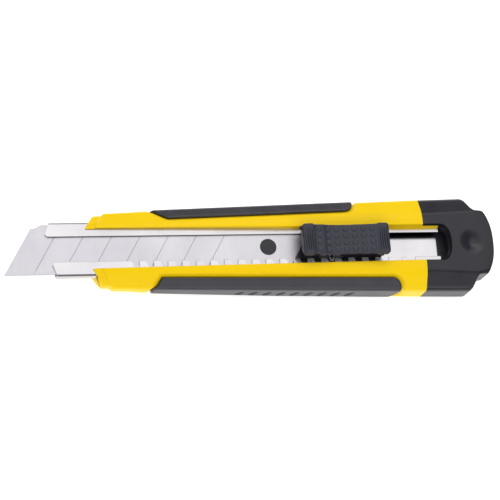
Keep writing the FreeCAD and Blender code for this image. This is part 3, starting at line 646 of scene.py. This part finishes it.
def make_handle(upper, lower, sleeve):
    """The sleeve as one closed shell, with the grips' beds, the slot and the hollow core."""
    step_middle = sleeve.front_end + NOSE_STEP_PLACE + NOSE_STEP_FADE / 2
    ends = [step_middle, upper.front, upper.rear, lower.front, lower.rear]
    stations = spread(sleeve.front_end + 1.0, sleeve.rear_end, ends, 0.22, 1.1)
    lead = sleeve.front_end + np.array([0, 0.04, 0.12, 0.25, 0.42, 0.62, 0.82])
    stations = np.concatenate([lead, stations])
    top = sleeve_side(sleeve, upper, stations, 1, SLOT_UPPER)
    bottom = sleeve_side(sleeve, lower, stations, -1, SLOT_LOWER)[:, ::-1]
    inner = []
    for station, first, last in zip(stations, top[:, 0], bottom[:, -1]):
        near = nose_share(station - sleeve.front_end)
        upper_wall = float(np.interp(station, *SLOT_UPPER))
        lower_wall = float(np.interp(station, *SLOT_LOWER))
        undercut = WALL_UNDERCUT * float(smooth((station + 40.0) / 50.0))
        foot = upper_wall + WALL_SPREAD - undercut
        path = slot_edge(last, 1)
        path += [(-lower_wall, LIP_TOP), (-CHANNEL_HALF, LIP_TOP), (-CHANNEL_HALF, CHANNEL_BED),
                 (CHANNEL_HALF, CHANNEL_BED), (CHANNEL_HALF, LIP_TOP), (foot, LIP_TOP)]
        path += slot_edge(first, -1)[::-1]
        inner.append([(station + float(nose_shift(np.array(y))) * near, y, z) for y, z in path])
    loops = np.concatenate([top, bottom[:, 1:], np.array(inner)], axis=1)
    rings, count = loops.shape[:2]
    faces = tube_faces(rings, count)
    faces.append(tuple(range(count)))
    shape = bmesh.new()
    corners = [shape.verts.new(Vector(point) * MM) for point in loops.reshape(-1, 3)]
    for face in faces:
        shape.faces.new([corners[index] for index in face])
    rear = corners[-count:]
    edges = [shape.edges.get((rear[index], rear[(index + 1) % count])) for index in range(count)]
    section = ((-CORE_HALF, CORE_BOTTOM), (CORE_HALF, CORE_BOTTOM),
               (CORE_HALF, CORE_TOP), (-CORE_HALF, CORE_TOP))
    core = [[shape.verts.new(Vector((x, y, z)) * MM) for y, z in section]
            for x in (sleeve.rear_end, CORE_END)]
    for index in range(4):
        following = (index + 1) % 4
        edges.append(shape.edges.new((core[0][index], core[0][following])))
        shape.faces.new((core[0][index], core[0][following], core[1][following], core[1][index]))
    shape.faces.new(core[1])
    bmesh.ops.triangle_fill(shape, edges=edges, use_beauty=False, use_dissolve=False)
    bmesh.ops.recalc_face_normals(shape, faces=shape.faces[:])
    mesh = bpy.data.meshes.new("handle_shell")
    shape.to_mesh(mesh)
    shape.free()
    return link("handle_shell", mesh)


def make_ledge():
    """The sleeve's inner edge, carried on a little way inside the cap's window."""
    section = ((5.76, LIP_TOP), (6.02, 13.3), (6.1, 13.55), (6.27, 13.6), (6.27, LIP_TOP))
    points = []
    for x, grown in ((24.6, 0.0), (30.6, 0.0), (31.1, -0.2)):
        points += [(x, y, z + (grown if z > LIP_TOP else 0.0)) for y, z in section]
    faces = tube_faces(3, 5) + [tuple(range(5)), tuple(range(10, 15))]
    return piece("handle_ledge", points, faces, 30.0)


GRIP_PROUD, GRIP_THICKNESS, GRIP_ROUND = 0.22, 1.05, 0.55
HOLLOWS, HOLLOW_FIRST, HOLLOW_PITCH, HOLLOW_DEPTH = 9, -42.4, 5.0, 0.6


def make_grip(name, grip, sign):
    """One soft grip as a closed shell, with rounded edges and a row of slanting hollows."""
    across_share, along_share = edged(19.0, 0.42), edged(grip.rear - grip.front, 0.3)
    share_b, share_a = np.meshgrid(across_share, along_share)
    x = grip.front + (grip.rear - grip.front) * share_a
    for _ in range(6):
        width = grip.width(x)
        way = share_b * width
        low = grip.front + grip.front_shift(way, width)
        high = grip.rear - grip.rear_shift(way, width)
        x = low + (high - low) * share_a
    round_way = grip.start(x) + way
    across, up, out_across, out_up = grip.sleeve.place(x, round_way)
    inside = np.maximum(grip.distance(x, way), 0.0)
    height = GRIP_PROUD - round_over(inside, GRIP_ROUND)
    side = smooth((out_across - 0.9) / 0.08)
    level = grip.sleeve.front(x) - 8.4
    for index in range(HOLLOWS):
        place = HOLLOW_FIRST + HOLLOW_PITCH * index
        ring = np.hypot((x - place - 0.45 * (up - level)) / 0.95, (up - level) / 2.4)
        height = height - HOLLOW_DEPTH * side * smooth((1.15 - ring) / 0.45)
    shells = []
    for lift in (height, -GRIP_THICKNESS + 0 * height):
        outward = across + lift * out_across
        shells.append(np.stack([x, sign * outward, up + lift * out_up], axis=-1))
    rows, columns = x.shape
    points = np.concatenate([shells[0].reshape(-1, 3), shells[1].reshape(-1, 3)])
    half = rows * columns
    faces = []
    for row in range(rows - 1):
        for column in range(columns - 1):
            low = row * columns + column
            faces.append((low, low + 1, low + columns + 1, low + columns))
            faces.append(tuple(half + index for index in faces[-1]))
    rim = list(range(columns))
    rim += [row * columns + columns - 1 for row in range(1, rows)]
    rim += [(rows - 1) * columns + column for column in range(columns - 2, -1, -1)]
    rim += [row * columns for row in range(rows - 2, 0, -1)]
    for index, low in enumerate(rim):
        following = rim[(index + 1) % len(rim)]
        faces.append((low, following, following + half, low + half))
    return piece(name, points, faces, 50.0)


# ---- the end cap ---------------------------------------------------------------------

CAP_TAIL, CAP_TAIL_ROUND = 51.2, 0.45
DIMPLE_PLACE, DIMPLE_RADIUS, DIMPLE_DEPTH = 42.9, 5.2, 1.3
TAIL_BOW, TONGUE_START = 3.0, 46.0


class CapForm(Sleeve):
    """The cap's outside: the sleeve's outline carried on, narrowing to a tongue."""
    shoulder_round = 1.3

    def half_width(self, x):
        knots = [25.0, 41.0, 41.8, 42.5, 43.1, 43.7, 44.3, 44.9, 45.8, 51.2]
        halves = [17.15, 17.5, 17.25, 16.6, 15.5, 14.1, 12.9, 12.25, 12.05, 11.9]
        return np.interp(x, knots, halves)

    def front(self, x):
        fall = 0.2 * np.clip((x - self.rear_end) / 20.0, 0, 1)
        return 14.8 - fall - 0.006 * np.clip(x - 43.5, 0, None) ** 2

    def back(self, x):
        return 0.17 * np.clip(x - 41.0, 0, None)

    def flank(self, x):
        crease = 10.4 + 1.1 * np.clip((x - self.rear_end) / 21.0, 0, 1)
        return np.maximum(self.half_width(x) - crease, 1.0)


def make_cap():
    """The cap's outside as one closed shell, cut out for the window, the channel and snapping."""
    form = CapForm(2.4)
    front = form.rear_end
    stations = spread(front, CAP_TAIL - 1.0, [front, 42.5, 45.0], 0.25, 0.5)
    last = CAP_TAIL - np.array([0.6, 0.42, 0.3, 0.2, 0.11, 0.04, 0.0])
    stations = np.concatenate([stations, last])
    shares = []
    for start, end, count in ((0, 1, 34), (1, 2, 26), (2, 3, 14), (3, 4, 10)):
        shares += list(np.linspace(start, end, count, endpoint=False))
    shares = np.array(shares + [4.0])
    x = stations[:, None] + 0.0 * shares
    crease = form.half_width(x) - form.flank(x)
    full = form.round_length(x)
    foot = full - form.half_width(x)
    marks = [0 * x, crease - 1.0, foot - 4.0, foot + form.back_round, full]
    step = np.minimum(shares.astype(int), 3)
    low, high = np.choose(step, marks[:4]), np.choose(step, marks[1:])
    way = low + (high - low) * (shares - step)
    across, up, out_across, out_up = form.place(x, way)
    front_gap = 0.12 * np.clip(1 - (x - front) / 0.3, 0, 1)
    depth = round_over(CAP_TAIL - x, CAP_TAIL_ROUND) + front_gap
    across, up = across - depth * out_across, up - depth * out_up
    away = np.clip(np.hypot(x - DIMPLE_PLACE, across) / DIMPLE_RADIUS, 0, 1)
    up = up - smooth(out_up / 0.3) * (DIMPLE_DEPTH / 2) * (1 + np.cos(math.pi * away))
    bow = TAIL_BOW * (np.clip(np.abs(across), 0, 11.8) / 11.8) ** 2.5
    x = x - bow * np.clip((x - TONGUE_START) / (CAP_TAIL - TONGUE_START), 0, 1)
    right = np.stack([x, across, up], axis=-1)
    left = np.stack([x, -across, up], axis=-1)[:, ::-1]
    loops = np.concatenate([right, left[:, 1:-1]], axis=1)
    rings, count = loops.shape[:2]
    ends = ((0, count), ((rings - 1) * count, count))
    cap = piece("cap_shell", loops.reshape(-1, 3), tube_faces(rings, count), 38.0, ends)

    arc = [(31.4, 6.3), (32.6, 6.0), (33.6, 5.2), (34.3, 3.9), (34.7, 2.2), (34.85, 0.0)]
    plan = [(24.0, 6.3)] + arc + [(a, -b * 6.5 / 6.3) for a, b in arc[-2::-1]] + [(24.0, -6.5)]
    window = prism("window_space", plan, [(CHANNEL_BED, 0.0), (14.1, 0.0), (15.6, 1.1)])
    socket = prism("socket_space", oblong(24.0, 31.6, CHANNEL_HALF),
                   [(CHANNEL_BED, 0.0), (LIP_TOP, 0.0)])
    snap = prism("snap_space", oblong(42.9, 54.0, 9.3), [(5.6, 0.0), (6.5, 0.0)])
    for tool in (window, socket, snap):
        carve(cap, tool)
    return cap


def oblong(front, rear, half):
    """A rectangle in plan, evenly about the middle."""
    return [(front, half), (rear, half), (rear, -half), (front, -half)]


def prism(name, plan, levels):
    """An upright solid on an outline in plan, which grows outwards from level to level."""
    centre = np.mean(np.array(plan), axis=0)
    points = []
    for height, grown in levels:
        for index, (x, y) in enumerate(plan):
            before, after = plan[index - 1], plan[(index + 1) % len(plan)]
            way = Vector((after[0] - before[0], after[1] - before[1])).normalized()
            out = Vector((-way.y, way.x))
            if out.dot(Vector((x - centre[0], y - centre[1]))) < 0:
                out = -out
            points.append((x + out.x * grown, y + out.y * grown, height))
    count = len(plan)
    faces = tube_faces(len(levels), count)
    faces += [tuple(range(count)), tuple(range((len(levels) - 1) * count, len(levels) * count))]
    return piece(name, points, faces)


def carve(target, tool):
    """Cut one piece with another, and leave the cutter out of the scene."""
    cutter = target.modifiers.new("cut", "BOOLEAN")
    cutter.operation, cutter.solver, cutter.object = "DIFFERENCE", "EXACT", tool
    settle(target)
    bpy.data.objects.remove(tool)


def settle(target):
    """Turn a piece's modifiers into plain mesh."""
    graph = bpy.context.evaluated_depsgraph_get()
    made = bpy.data.meshes.new_from_object(target.evaluated_get(graph))
    target.modifiers.clear()
    target.data = made
    made.name = target.name
    made.shade_smooth()
    made.set_sharp_from_angle(angle=math.radians(38.0))


def make_spigot():
    """The hollow plug that holds the cap in the sleeve."""
    outer, inner = (12.45, 2.05, 5.75), (10.85, 2.85, 4.95)
    points = []
    for x, (half, low, high), cut in ((25.4, outer, 0), (13.8, outer, 0), (13.0, outer, 0.8),
                                      (13.0, inner, 0), (24.0, inner, 0)):
        side, bottom, top = half - cut, low + cut * 0.6, high - cut * 0.6
        points += [(x, -side, bottom), (x, side, bottom), (x, side, top), (x, -side, top)]
    faces = tube_faces(5, 4) + [(0, 1, 2, 3), (16, 17, 18, 19)]
    return piece("cap_plug", points, faces, 30.0)


# ---- the thumb button ----------------------------------------------------------------

BUTTON_FRONT, BUTTON_REAR = -20.7, 10.9
BUTTON_MIDDLE, BUTTON_HALF = 0.5, 5.65
BUTTON_BASE, BUTTON_TOP = 12.8, 19.0
BUTTON_RIM, FOOT_START = 16.75, 1.25
CORNER_ROUND, END_ROUND = 0.55, 1.05


def saddle(x):
    """The height of the button's top, with its hollow for the thumb."""
    knots = [-20.7, -16.6, -16.2, -13.2, -10.8, -8.0, -2.0, 3.5, 6.6, 7.0, 10.9]
    drops = [0.0, 0.0, 0.3, 0.42, 1.15, 1.42, 1.1, 0.62, 0.32, 0.0, 0.0]
    fine = np.linspace(-22.0, 12.0, 500)
    drop = np.interp(fine, knots, drops)
    weights = np.hanning(25)
    padded = np.pad(drop, 12, mode="edge")
    drop = np.convolve(padded, weights / weights.sum(), mode="valid")
    return BUTTON_TOP - np.interp(x, fine, drop)


def make_button():
    """The button's body: a long rounded block, a little wider at its two raised ends."""
    lead = np.array([0.0, 0.05, 0.15, 0.3, 0.5, 0.75, 1.05, 1.24, 1.26])
    stations = np.concatenate([
        BUTTON_FRONT + lead, np.arange(BUTTON_FRONT + 1.4, BUTTON_REAR - 1.2, 0.3),
        BUTTON_REAR - lead[::-1]])
    loops = []
    for x in stations:
        near = min(x - BUTTON_FRONT, BUTTON_REAR - x)
        inset = float(round_over(near, END_ROUND))
        raised_end = smooth((4.15 - near) / 0.25)
        half = BUTTON_HALF - 0.28 * (1 - raised_end) - inset
        top = float(saddle(x)) - 0.6 * float(round_over(near, 0.75))
        loop = []
        for sign, turns in ((1, range(0, 91, 15)), (-1, range(90, -1, -15))):
            for turn in turns:
                angle = math.radians(turn)
                loop.append((sign * (half - CORNER_ROUND + CORNER_ROUND * math.cos(angle)),
                             top - CORNER_ROUND + CORNER_ROUND * math.sin(angle)))
        rim, foot = BUTTON_RIM - 0.5 * inset, half - 0.7 - inset
        base = BUTTON_BASE if near > FOOT_START else rim - 0.5
        side = [(foot, base), (foot, rim - 0.45), (half - 0.35, rim - 0.2), (half, rim + 0.1)]
        loop = side + loop + [(-y, z) for y, z in reversed(side)]
        loops.append([(x, BUTTON_MIDDLE + y, z) for y, z in loop])
    count = len(loops[0])
    faces = tube_faces(len(loops), count)
    last = (len(loops) - 1) * count
    faces += [tuple(range(count)), tuple(range(last, last + count))]
    return piece("button_block", [point for loop in loops for point in loop], faces, 45.0)


def turned(name, profile, steps=28):
    """A turned piece on the Z axis, from a profile of radius and height."""
    points = []
    for radius, height in profile:
        for index in range(steps):
            angle = 2 * math.pi * index / steps
            points.append((radius * math.cos(angle), radius * math.sin(angle), height))
    faces = tube_faces(len(profile), steps)
    last = (len(profile) - 1) * steps
    faces += [tuple(range(steps)), tuple(range(last, last + steps))]
    return piece(name, points, faces, 50.0)


def scattered(name, places, pattern, material):
    """Copies of one small piece at many places, by Geometry Nodes, as one plain mesh."""
    base = bpy.data.meshes.new(name)
    base.from_pydata([Vector(place) * MM for place in places], [], [])
    holder = bpy.data.objects.new(name, base)
    bpy.context.collection.objects.link(holder)
    tree = bpy.data.node_groups.new(name + "_copies", "GeometryNodeTree")
    face = tree.interface
    face.new_socket("Places", in_out="INPUT", socket_type="NodeSocketGeometry")
    piece_socket = face.new_socket("Pattern", in_out="INPUT", socket_type="NodeSocketObject")
    finish_socket = face.new_socket("Finish", in_out="INPUT", socket_type="NodeSocketMaterial")
    face.new_socket("Copies", in_out="OUTPUT", socket_type="NodeSocketGeometry")
    start, end = tree.nodes.new("NodeGroupInput"), tree.nodes.new("NodeGroupOutput")
    info = tree.nodes.new("GeometryNodeObjectInfo")
    points = tree.nodes.new("GeometryNodeMeshToPoints")
    copies = tree.nodes.new("GeometryNodeInstanceOnPoints")
    real = tree.nodes.new("GeometryNodeRealizeInstances")
    dressed = tree.nodes.new("GeometryNodeSetMaterial")
    for source, target in (
            (start.outputs["Places"], points.inputs["Mesh"]),
            (start.outputs["Pattern"], info.inputs["Object"]),
            (points.outputs["Points"], copies.inputs["Points"]),
            (info.outputs["Geometry"], copies.inputs["Instance"]),
            (copies.outputs["Instances"], real.inputs["Geometry"]),
            (real.outputs["Geometry"], dressed.inputs["Geometry"]),
            (start.outputs["Finish"], dressed.inputs["Material"]),
            (dressed.outputs["Geometry"], end.inputs["Copies"])):
        tree.links.new(source, target)
    maker = holder.modifiers.new("copies", "NODES")
    maker.node_group = tree
    maker[piece_socket.identifier] = pattern
    maker[finish_socket.identifier] = material
    settle(holder)
    bpy.data.objects.remove(pattern)
    return holder


DOT_COLUMNS, DOT_FIRST, DOT_COLUMN_PITCH = 7, -14.6, 3.24
DOT_ROWS, DOT_ROW_PITCH = 4, 2.45
RIBS, RIB_PITCH = 4, 0.82


def button_dots(material):
    """Seven columns of four low, round-edged dots."""
    places = []
    for column in range(DOT_COLUMNS):
        x = DOT_FIRST + DOT_COLUMN_PITCH * column
        for row in range(DOT_ROWS):
            y = BUTTON_MIDDLE + (row - (DOT_ROWS - 1) / 2) * DOT_ROW_PITCH
            places.append((x, y, float(saddle(x))))
    profile = [(1.02, -0.3), (1.0, 0.1), (0.97, 0.15), (0.9, 0.18), (0.5, 0.185), (0.2, 0.185)]
    dot = turned("dot", profile)
    return scattered("button_dots", places, dot, material)


def button_ribs(material):
    """Thin tapering ribs across both raised ends."""
    places = []
    for index in range(RIBS):
        for start in (BUTTON_FRONT + 1.0, BUTTON_REAR - 3.45):
            places.append((start + RIB_PITCH * index, BUTTON_MIDDLE, BUTTON_TOP))
    points = []
    for y, half, rise in ((-4.4, 0.04, 0.0), (-3.9, 0.14, 0.3), (0.0, 0.2, 0.42), (3.6, 0.14, 0.3),
                          (4.2, 0.04, 0.0)):
        flat, shoulder = half * 0.4, rise * 0.6
        points += [(-half, y, -0.3), (-half, y, shoulder), (-flat, y, rise),
                   (flat, y, rise), (half, y, shoulder), (half, y, -0.3)]
    faces = tube_faces(5, 6) + [tuple(range(6)), tuple(range(24, 30))]
    rib = piece("rib", points, faces, 60.0)
    return scattered("button_ribs", places, rib, material)


def button_lug():
    """The small round stud at the button's front, on the spine's side."""
    profile = [(0.3, 15.9), (0.55, 16.05), (0.66, 16.3), (0.66, 17.1),
               (0.58, 17.4), (0.4, 17.6), (0.15, 17.68)]
    lug = turned("button_lug", profile)
    lug.data.transform(Matrix.Translation(Vector((-20.75, 5.05, 0)) * MM))
    return lug


# ---- the knife -----------------------------------------------------------------------

make_camera()
make_lights()
make_floor()

yellow, rubber, black = yellow_moulding(), soft_rubber(), black_moulding()
body_form, grip_form = Sleeve(2.4), Sleeve(1.3)
body_grips, own_grips = (
    [Grip(-73.0, 0.4, (6.0, 6.0), form), Grip(-73.7, 15.8, (3.2, 8.0), form)]
    for form in (body_form, grip_form))

shell = make_handle(*body_grips, body_form)
clad(shell, yellow)
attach(shell, "handle")
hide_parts("handle_body")

ledge = make_ledge()
clad(ledge, yellow)
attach(ledge, "handle")

for node, form, sign in (("upper_grip", own_grips[0], 1), ("lower_grip", own_grips[1], -1)):
    grip = make_grip(node + "_rubber", form, sign)
    clad(grip, rubber)
    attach(grip, "handle")
    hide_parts(node)

cap = make_cap()
plug = make_spigot()
for made in (cap, plug):
    clad(made, black)
    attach(made, "cap")
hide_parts("end_cap")

button = make_button()
satin = black_moulding("button_moulding", 2.2)
for made in (button, button_dots(satin), button_ribs(satin), button_lug()):
    clad(made, satin)
    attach(made, "button")
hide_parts("thumb_button")

for node, finish in (("blade_channel", rolled_steel()), ("blade", ground_steel()),
                     ("lock_spring", spring_strip()), ("slider_carrier", black)):
    clad(bpy.data.objects[node], finish)
